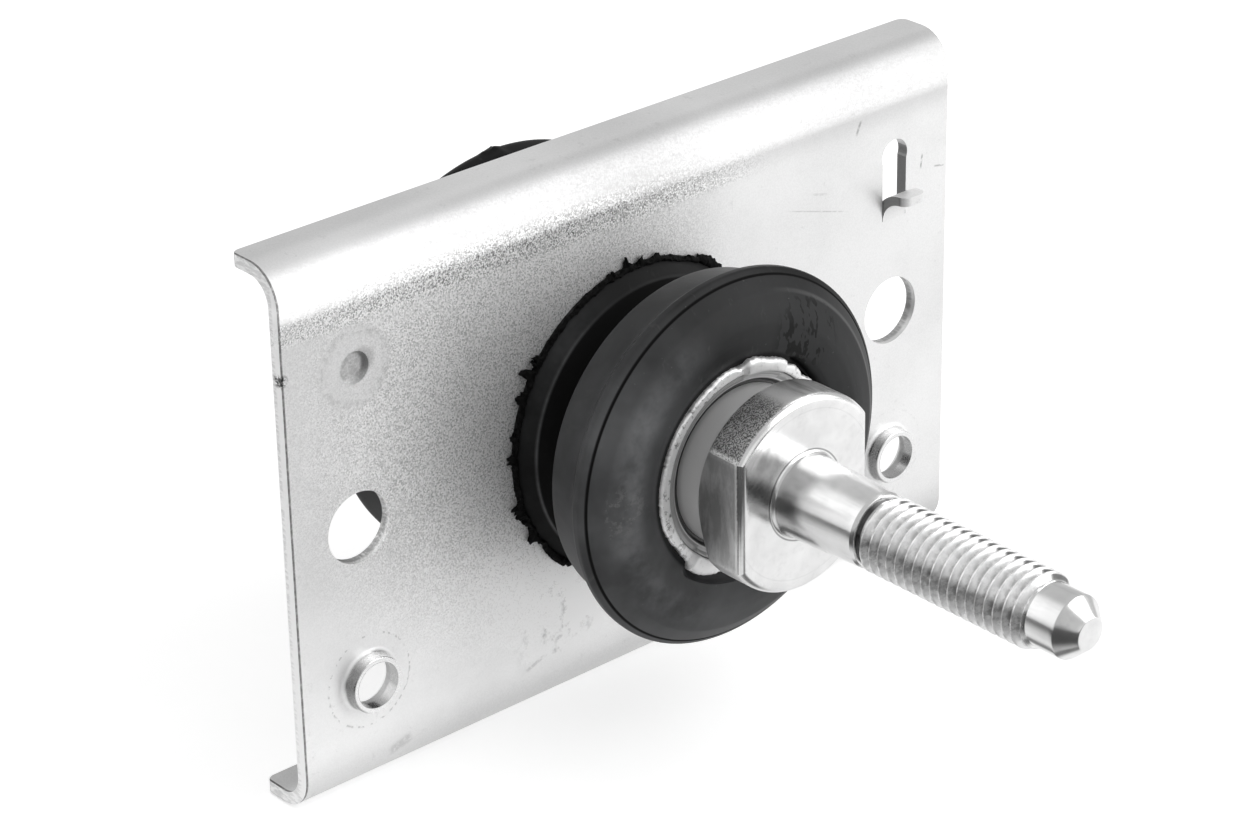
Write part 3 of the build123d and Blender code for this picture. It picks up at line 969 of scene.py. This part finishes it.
def thread_marks_and_shade(colour, grit, radius, turn, y):
    """Dark groove, painted shade in the roots and a painted dark reflection, with the thread's and top
    roots' masks.
    """
    from_right = calc("ABSOLUTE", turn)
    # The groove is dark because plating hardly reaches it; painted shade makes it darker on the left.
    groove = times(band(y, THREAD_START - 0.05, THREAD_START + 0.8, 0.08), slide(radius, 5.6, 5.45))
    groove = times(groove, slide(from_right, 96.0, 122.0, 0.55, 1.0))
    # Painted shade in the thread's roots, darkest along the top.
    roots = times(slide(radius, 5.55, 5.10), band(y, THREAD_END + 0.6, THREAD_START - 0.4, 0.2))
    threaded = band(y, THREAD_END + 0.3, THREAD_START - 0.2, 0.2)
    top_roots = times(slide(radius, 5.92, 5.60), threaded, band(turn, 34.0, 80.0, 8.0))
    colour = darken(colour, (groove, 0.06), (roots, 0.72), (top_roots, 0.14))
    pale = times(slide(grit["ragged"], 0.40, 0.65, 0.35, 1.0), inside(top_roots, 0.1))
    colour = blend("MIX", times(threaded, pale), colour, 0.95)
    # Painted dark reflection along the left side of the thread.
    painted_dark_band = times(threaded, slide(from_right, 156.0, 170.0), slide(grit["ragged"], 0.35, 0.60, 0.95, 0.5))
    return darken(colour, (painted_dark_band, 0.46)), threaded, top_roots


print("collar from", COLLAR_FRONT, "to", COLLAR_REAR, "mm")

# %% Stud finish
def stud_finish():
    """Bright zinc with polishing lines, a forged collar side, and painted shade, highlights and
    reflections.
    """
    finish, shader, place = new_finish("bright_zinc")
    x, y, z = parts_of(place)
    radius = distance_from(place, 0.0, 0.0)
    turn = times(calc("ARCTAN2", z, x), 180.0 / math.pi)
    grit = {name: speckle(place, *setting) for name, setting in STUD_NOISES.items()}
    side = times(band(y, COLLAR_FRONT + 0.75, COLLAR_REAR - 0.2, 0.15), slide(radius, 12.82, 12.9))
    on_flat = times(slide(calc("ABSOLUTE", x), HALF_FLATS - 0.08, HALF_FLATS - 0.03), side)
    colour = slide(grit["clouds"], 0.3, 0.7, 0.72, 0.84)
    colour = darken(colour, (slide(grit["lines"], 0.30, 0.50, 0.10, 0.0), 0.5))
    colour, round_side = collar_marks_and_highlight(colour, grit, side, on_flat, turn, y, z)
    shoulder = times(band(y, COLLAR_REAR, -22.9, 0.1), slide(radius, 12.2, 12.5))
    colour = blend("MIX", times(shoulder, 0.9), colour, 0.50)
    colour = painted_dark_reflections(colour, grit, radius, turn, y)
    colour, threaded, top_roots = thread_marks_and_shade(colour, grit, radius, turn, y)
    face = slide(y, COLLAR_FRONT + 0.25, COLLAR_FRONT + 0.05)
    face = times(face, slide(y, COLLAR_FRONT - 1.2, COLLAR_FRONT - 0.9))
    outer_ring = times(face, band(radius, 13.55, 13.7, 0.08), 0.18)
    inner_ring = times(face, band(radius, 7.1, 7.35, 0.10), 0.85)
    unplated = most(times(shoulder, 0.75), times(threaded, 0.40), top_roots)
    polished = slide(grit["lines"], 0.3, 0.7, 0.24, 0.18)
    satin = most(times(most(side, shoulder), 0.38), times(threaded, 0.30), times(top_roots, 0.8))
    relief = bump(times(grit["crust"], round_side), 0.00014, 0.7)
    relief = bump(times(grit["die"], on_flat), 0.00010, 0.5, relief)
    wire(
        shader,
        Base_Color=darken(colour, (outer_ring, 0.55), (inner_ring, 0.30)),
        Metallic=calc("SUBTRACT", 1.0, unplated),
        Roughness=most(polished, satin),
        Normal=bump(grit["lines"], 0.000015, 0.4, relief),
    )
    return finish

BRIGHT_ZINC = stud_finish()
print("stud finish ready")

# %% [markdown]
# The stud's outline runs from the riveted rear end to the groove before the thread. The two wrench flats
# are cut into the turned collar as a miller would cut them: a Boolean takes away a prism whose inner
# corner is rounded, so that the flat ends in the same soft edge as the collar's front. The turned body is
# capped while it is cut, because a Boolean needs a closed shape, and the cap comes off again afterwards.

# %% Stud body
COLLAR_RADIUS = 15.85
COLLAR_EDGE = 1.25
GROOVE_RADIUS = 5.35
POINT_RADIUS = 4.9
AROUND = 192
BODY_POINTS = [
    (0, 36.0), (9.78, 36.0), (7.98, 34.4), (7.98, -22.8), (SHOULDER_RADIUS, -22.8),
    (SHOULDER_RADIUS, COLLAR_REAR), (COLLAR_RADIUS, -30.3), (COLLAR_RADIUS, COLLAR_FRONT),
    (6.6, COLLAR_FRONT), (5.98, -52.5), (5.70, -53.0), (GROOVE_RADIUS, -53.1),
    (GROOVE_RADIUS, THREAD_START), (0, THREAD_START),
]
BODY_RADII = [0, 0.2, 0, 0, 0.15, 0.15, 0.5, COLLAR_EDGE, 0.7, 0.15, 0.1, 0, 0, 0]


def flat_cutter(side):
    """Prism that cuts one wrench flat, with a rounded inner corner at the collar's front."""
    behind, before = COLLAR_REAR + 1.8, COLLAR_FRONT - 2.9
    inner = HALF_FLATS - 1.4
    points = [(HALF_FLATS, behind), (HALF_FLATS, COLLAR_FRONT), (inner, COLLAR_FRONT - 0.01)]
    points += [(inner, before), (20.0, before), (20.0, behind)]
    profile = rounded(points, [0, COLLAR_EDGE - 0.01, 0, 0, 0, 0], 15.0)
    mesh = bmesh.new()
    ends = []
    for height in (-18.0, 18.0):
        ends.append([mesh.verts.new(Vector((side * point.x, point.y, height)) * MM) for point in profile])
    mesh.faces.new(ends[0])
    mesh.faces.new(ends[1])
    for index in range(len(profile)):
        following = (index + 1) % len(profile)
        mesh.faces.new((ends[0][index], ends[0][following], ends[1][following], ends[1][index]))
    return finish_piece(f"cutter_{'right' if side > 0 else 'left'}", mesh, BRIGHT_ZINC)


def cut_flats(blank):
    """Mesh of the turned body after both flats are cut, without its cap."""
    cutters = [flat_cutter(side) for side in (-1.0, 1.0)]
    for cutter in cutters:
        modifier = blank.modifiers.new("flat", "BOOLEAN")
        modifier.operation = "DIFFERENCE"
        modifier.solver = "EXACT"
        modifier.object = cutter
    bpy.context.view_layer.update()
    cut = bpy.data.meshes.new_from_object(blank.evaluated_get(bpy.context.evaluated_depsgraph_get()))
    for thing in (*cutters, blank):
        bpy.data.objects.remove(thing)
    mesh = bmesh.new()
    mesh.from_mesh(cut)
    cap = [face for face in mesh.faces if all(abs(v.co.y / MM - THREAD_START) < 0.01 for v in face.verts)]
    bmesh.ops.delete(mesh, geom=cap, context="FACES")
    return mesh


body_outline = refined(rounded(BODY_POINTS, BODY_RADII, 10.0), 0.9, False)
blank = finish_piece("stud_blank", lathe(body_outline, AROUND), BRIGHT_ZINC)
body_mesh = cut_flats(blank)
print("body faces after the cut", len(body_mesh.faces))

# %% [markdown]
# The thread follows a rule, so Geometry Nodes make it: the grid is rolled up into a tube, and each
# point's radius comes from its place along the helix. The phase is the station divided by the pitch, plus
# the turn. A wave of that phase, cut off at its top and bottom, is the flank and crest of the thread.
# Towards both ends the radius is limited, to the groove at one end and to the lead-in chamfer at the
# other.

# %% Cut thread
ROOT_SHARE = 0.14
CREST_SHARE = 0.86
GROOVE_SLOPE = 1.2
RUN_OUT_SLOPE = 1.5


def thread_tree():
    """Tube along minus Y whose radius follows a cut thread."""
    tree, given, result = node_group(
        "cut_thread",
        Pitch=0.00175,
        Crest=0.006,
        Root=0.00493,
        Start=THREAD_START * MM,
        Length=(THREAD_START - THREAD_END) * MM,
        Groove=GROOVE_RADIUS * MM,
        Neck=POINT_RADIUS * MM,
        Around=AROUND,
        Along=270,
    )
    sheet, angle, share = rolled_grid(tree, given["Around"], given["Along"])
    along = times(share, given["Length"])
    turns = calc("ADD", calc("DIVIDE", along, given["Pitch"]), calc("DIVIDE", angle, 2 * math.pi))
    phase = calc("ABSOLUTE", calc("SUBTRACT", times(calc("FRACT", turns), 2.0), 1.0))
    wave = add("ShaderNodeMapRange", Value=phase, i_1=ROOT_SHARE, i_2=CREST_SHARE).outputs[0]
    depth = calc("SUBTRACT", given["Crest"], given["Root"])
    radius = calc("ADD", given["Root"], times(depth, wave))
    from_groove = calc("ADD", given["Groove"], times(along, GROOVE_SLOPE))
    to_end = calc("SUBTRACT", given["Length"], along)
    lead_in = calc("ADD", given["Neck"], to_end)
    limited = calc("MINIMUM", calc("MINIMUM", radius, from_groove), lead_in)
    run_out = calc("SUBTRACT", given["Groove"], times(along, RUN_OUT_SLOPE))
    inner = calc("MAXIMUM", calc("MAXIMUM", limited, run_out), given["Neck"])
    spot = round_place(angle, inner, calc("SUBTRACT", given["Start"], along))
    rolled = add("GeometryNodeSetPosition", Geometry=sheet, Position=spot)
    close_tree(tree, rolled.outputs[0], BRIGHT_ZINC, result)
    return tree


thread = grow("thread", thread_tree(), Pitch=0.00175)

# %% [markdown]
# The lead-in point ends the stud: a plain neck below the thread's root, a cone, and a small flat face.
# The three meshes share the same number of columns, so that their rings meet point for point and merge
# into one closed piece.

# %% Join the stud
POINT_POINTS = [(POINT_RADIUS, THREAD_END), (POINT_RADIUS, -91.3), (2.5, -94.0), (0, -94.0)]
POINT_RADII = [0, 0.35, 0.3, 0]
WELD_DISTANCE = 5e-6

point_outline = refined(rounded(POINT_POINTS, POINT_RADII, 15.0), 0.6, False)
point_data = bpy.data.meshes.new("point")
point_mesh = lathe(point_outline, AROUND)
point_mesh.to_mesh(point_data)
point_mesh.free()
body_mesh.from_mesh(thread.data)
body_mesh.from_mesh(point_data)
bmesh.ops.remove_doubles(body_mesh, verts=body_mesh.verts, dist=WELD_DISTANCE)
open_edges = sum(1 for edge in body_mesh.edges if len(edge.link_faces) != 2)
stud = finish_piece("stud_forging", body_mesh, BRIGHT_ZINC, 28.0)
for face in stud.data.polygons:
    if abs(face.normal.x) > 0.9999:
        for loop in face.loop_indices:
            stud.data.edges[stud.data.loops[loop].edge_index].use_edge_sharp = True
bpy.data.objects.remove(thread)
print("stud edges without two faces", open_edges)

# %% [markdown]
# Each piece rides on the one body, and the CAD node that it stands for is hidden. The plate stays the CAD
# node itself, because its folds, collars and hook already have the right shape.

# %% Tie the pieces to the frame
for piece, node, slot in (
    (isolator, "rubber_isolator", "isolator_rubber"),
    (front_skirt, "rubber_isolator", "isolator_rubber"),
    (rear_skirt, "rubber_isolator", "isolator_rubber"),
    (core, "core_sleeve", "sleeve_steel"),
    (stud, "stud", "stud_zinc"),
):
    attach(piece, "root")
    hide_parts(node)
print("pieces tied")

# %% [markdown]
# The studio is plain: a pale floor under the lower flange, a pale world, a soft key lamp 0.9 m wide and a
# smaller front lamp. Bright metal only looks like metal when what it mirrors is uneven, as a real studio
# is. So the world is brighter at the left rear and in front. In reflections alone, the floor and the low
# world towards the left front are dim, and the floor under the stud is dim as a painted shadow. The
# camera still sees a white floor with a soft shadow.

# %% Floor
FLOOR_GREY = 0.76
FLOOR_GLOW = 0.34
CAMERA_GLOW = 0.50
DIM_GREY = 0.07
FLOOR_REACH = 3.0
FLOOR_GAP = 0.0002
DIM_SIDE = Vector((-0.76, -0.65, 0.0))


def floor_finish():
    """Pale floor that looks white, with two dim parts that only reflections see, one a painted shadow."""
    finish, shader, place = new_finish("studio_floor")
    path = place.id_data.nodes.new("ShaderNodeLightPath").outputs
    glossy = path["Is Glossy Ray"]
    x, y, _ = parts_of(place)
    painted_shadow_beneath = times(band(x, -16.0, 2.0, 6.0), slide(y, -30.0, -44.0), 0.9)
    dim = times(most(slide(aimed(place, DIM_SIDE), 0.050, 0.120), painted_shadow_beneath), glossy)
    mirrored = times(calc("SUBTRACT", glossy, dim), FLOOR_GLOW)
    wire(
        shader,
        Base_Color=blend("MIX", dim, FLOOR_GREY, DIM_GREY),
        Roughness=0.9,
        Specular_IOR_Level=0.2,
        Emission_Color=(1.0, 1.0, 1.0, 1.0),
        Emission_Strength=most(times(path["Is Camera Ray"], CAMERA_GLOW), mirrored),
    )
    return finish

floor_mesh = bmesh.new()
bmesh.ops.create_grid(floor_mesh, x_segments=8, y_segments=8, size=FLOOR_REACH)
bmesh.ops.translate(floor_mesh, verts=floor_mesh.verts, vec=(0.0, 0.0, cad_low.z - FLOOR_GAP))
floor = finish_piece("studio_floor", floor_mesh, floor_finish())

# %% World and lamps
WORLD_GREY = 0.80
WORLD_STRENGTH = 0.78
BRIGHT_SIDE = Vector((-0.58, 0.66, 0.47)).normalized()
BRIGHT_FRONT = Vector((-0.17, -0.97, 0.13)).normalized()


def studio_world():
    """Pale world with two brighter parts, and dim low on the left front where only reflections see it."""
    world = bpy.data.worlds.new("studio_world")
    world.use_nodes = True
    nodes = world.node_tree.nodes
    towards = nodes.new("ShaderNodeTexCoord").outputs["Generated"]
    glossy = nodes.new("ShaderNodeLightPath").outputs["Is Glossy Ray"]
    low = fade(add("ShaderNodeSeparateXYZ", Vector=towards).outputs[2], 0.02, 0.20)
    dim = times(slide(aimed(towards, DIM_SIDE), 0.78, 0.95), low, glossy)
    strength = WORLD_STRENGTH
    for aim, start, factor in ((BRIGHT_SIDE, 0.72, 2.1), (BRIGHT_FRONT, 0.86, 1.6)):
        strength = times(strength, slide(aimed(towards, aim), start, 0.99, 1.0, factor))
    wire(nodes["Background"], Color=blend("MIX", dim, WORLD_GREY, DIM_GREY), Strength=strength)
    return world


def lamp(name, place, aim, size, power):
    """Square soft lamp aimed at a point."""
    light = bpy.data.lights.new(name, "AREA")
    light.shape = "SQUARE"
    light.size = size
    light.energy = power
    thing = bpy.data.objects.new(name, light)
    thing.location = place
    thing.rotation_euler = (Vector(aim) - Vector(place)).to_track_quat("-Z", "Y").to_euler()
    bpy.context.collection.objects.link(thing)


bpy.context.scene.world = studio_world()
lamp("key_lamp", (0.52, -0.60, 0.50), (0.0, 0.0, 0.0), 0.9, 4.4)
lamp("front_lamp", (0.55, -0.75, 0.05), (0.0, -0.03, 0.0), 0.4, 1.2)
bpy.context.scene.view_settings.view_transform = "Standard"
print("studio ready")
